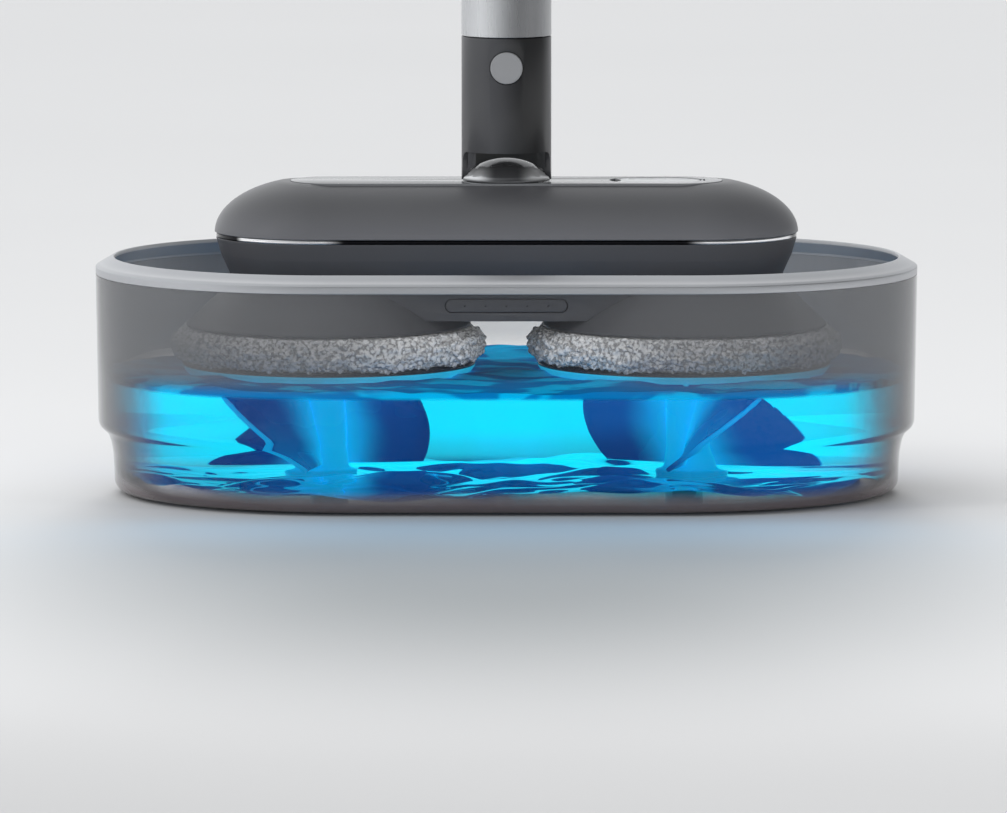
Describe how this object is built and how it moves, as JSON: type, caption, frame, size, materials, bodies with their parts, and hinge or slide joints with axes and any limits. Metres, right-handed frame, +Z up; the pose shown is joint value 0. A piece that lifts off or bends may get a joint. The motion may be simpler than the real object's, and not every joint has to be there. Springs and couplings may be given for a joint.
{
  "type": "upright floor scrubber with wash tub",
  "caption": "Upright wet and dry floor scrubber with spinning fluffy pads, parked in a smoky see-through wash tub whose impellers stir the water; tilting neck and lift-out pole.",
  "frame": {"origin": "on the floor under the middle of the tub", "axes": "+X along the tub's long side, -Y towards the user's front, +Z up"},
  "size_m": [0.476, 0.27, 1.189],
  "materials": {
    "tub_smoke": "gloss",
    "rim_silver": "satin",
    "foot_rubber": "matte",
    "steel": "satin",
    "water": "gloss",
    "seat_black": "satin",
    "housing_grey": "satin",
    "trim_chrome": "polished",
    "cover_grey": "satin",
    "panel_gloss": "gloss",
    "motor_metal": "satin",
    "tank_clear": "gloss",
    "pump_black": "matte",
    "hose_clear": "satin",
    "board_green": "satin",
    "seal_black": "matte",
    "cap_silver": "satin",
    "dome_grey": "gloss",
    "neck_grey": "satin",
    "button_silver": "satin",
    "tube_silver": "satin",
    "cell_blue": "satin",
    "shoulder_grey": "satin",
    "handle_grey": "satin",
    "grip_black": "matte",
    "trigger_grey": "satin",
    "impeller_blue": "gloss",
    "turntable_blue": "gloss",
    "bush_white": "satin",
    "pad_grey": "matte"
  },
  "bodies": {
    "tub": {"tub_shell": "tub_smoke", "tub_rim": "rim_silver", "tub_feet": "foot_rubber", "impeller_posts": "steel", "wash_water": "water"},
    "left_agitator": {"left_impeller": "impeller_blue", "left_turntable": "turntable_blue", "left_bush": "bush_white"},
    "right_agitator": {"right_impeller": "impeller_blue", "right_turntable": "turntable_blue", "right_bush": "bush_white"},
    "head": {"chassis_plate": "seat_black", "lower_housing": "housing_grey", "left_skirt": "housing_grey", "right_skirt": "housing_grey", "nozzle_block": "housing_grey", "spray_bar": "housing_grey", "trim_ring": "trim_chrome", "upper_cover": "cover_grey", "top_panel": "panel_gloss", "swivel_seat": "seat_black", "left_gearmotor": "motor_metal", "right_gearmotor": "motor_metal", "water_tank": "tank_clear", "water_pump": "pump_black", "water_hose": "hose_clear", "control_board": "board_green", "housing_screws": "steel", "filler_seal": "seal_black", "cap_hinge_pin": "steel"},
    "left_pad": {"left_drive_shaft": "steel", "left_pad_plate": "seat_black", "left_mop_pad": "pad_grey"},
    "right_pad": {"right_drive_shaft": "steel", "right_pad_plate": "seat_black", "right_mop_pad": "pad_grey"},
    "filler_cap": {"filler_cap": "cap_silver"},
    "foot": {"swivel_knuckle": "dome_grey", "tilt_pin": "steel"},
    "neck": {"neck_sleeve": "neck_grey", "button_spring": "steel"},
    "release_button": {"release_button": "button_silver"},
    "pole": {"tube_spigot": "seat_black", "body_tube": "tube_silver", "battery_pack": "cell_blue", "tube_shoulder": "shoulder_grey", "upper_tube": "tube_silver", "handle_front": "handle_grey", "handle_back": "handle_grey", "handle_screws": "steel", "grip_sleeve": "grip_black", "trigger_pin": "steel", "trigger_spring": "steel", "hanging_loop": "handle_grey"},
    "charge_cover": {"charge_cover": "seal_black"},
    "power_button": {"power_button": "button_silver"},
    "spray_trigger": {"spray_trigger": "trigger_grey"}
  },
  "joints": [
    {"name": "head_lift", "type": "slide", "parent": "tub", "child": "head", "axis": [0, 0, 1], "range_m": [0, 0.3]},
    {"name": "left_pad_spin", "type": "hinge", "parent": "head", "child": "left_pad", "pos_m": [-0.103, 0, 0.08], "axis": [0, 0, 1], "continuous": true},
    {"name": "right_pad_spin", "type": "hinge", "parent": "head", "child": "right_pad", "pos_m": [0.103, 0, 0.08], "axis": [0, 0, 1], "continuous": true},
    {"name": "left_agitator_spin", "type": "hinge", "parent": "tub", "child": "left_agitator", "pos_m": [-0.103, 0, 0.04], "axis": [0, 0, 1], "continuous": true},
    {"name": "right_agitator_spin", "type": "hinge", "parent": "tub", "child": "right_agitator", "pos_m": [0.103, 0, 0.04], "axis": [0, 0, 1], "continuous": true},
    {"name": "cap_open", "type": "hinge", "parent": "head", "child": "filler_cap", "pos_m": [0.1135, 0, 0.1802], "axis": [0, 1, 0], "range_deg": [0, 100]},
    {"name": "foot_swivel", "type": "hinge", "parent": "head", "child": "foot", "pos_m": [0, 0, 0.15], "axis": [0, 0, 1], "range_deg": [-90, 90]},
    {"name": "neck_tilt", "type": "hinge", "parent": "foot", "child": "neck", "pos_m": [0, 0, 0.188], "axis": [-1, 0, 0], "range_deg": [-10, 52]},
    {"name": "button_press", "type": "slide", "parent": "neck", "child": "release_button", "axis": [0, 1, 0], "range_m": [0, 0.0018], "stiffness_N_per_m": 1500, "deforming": ["button_spring"]},
    {"name": "pole_pull", "type": "slide", "parent": "neck", "child": "pole", "axis": [0, 0, 1], "range_m": [0, 0.06]},
    {"name": "charge_cover_pull", "type": "slide", "parent": "pole", "child": "charge_cover", "axis": [0, 1, 0], "range_m": [0, 0.012]},
    {"name": "power_press", "type": "slide", "parent": "pole", "child": "power_button", "axis": [0, 1, 0], "range_m": [0, 0.0012], "stiffness_N_per_m": 1500},
    {"name": "trigger_pull", "type": "hinge", "parent": "pole", "child": "spray_trigger", "pos_m": [0, 0, 1.06], "axis": [1, 0, 0], "range_deg": [0, 8], "stiffness_Nm_per_rad": 0.4}
  ],
  "couplings": [
    {"joint": "left_agitator_spin", "follows": "left_pad_spin", "ratio": 1},
    {"joint": "right_agitator_spin", "follows": "right_pad_spin", "ratio": 1}
  ]
}
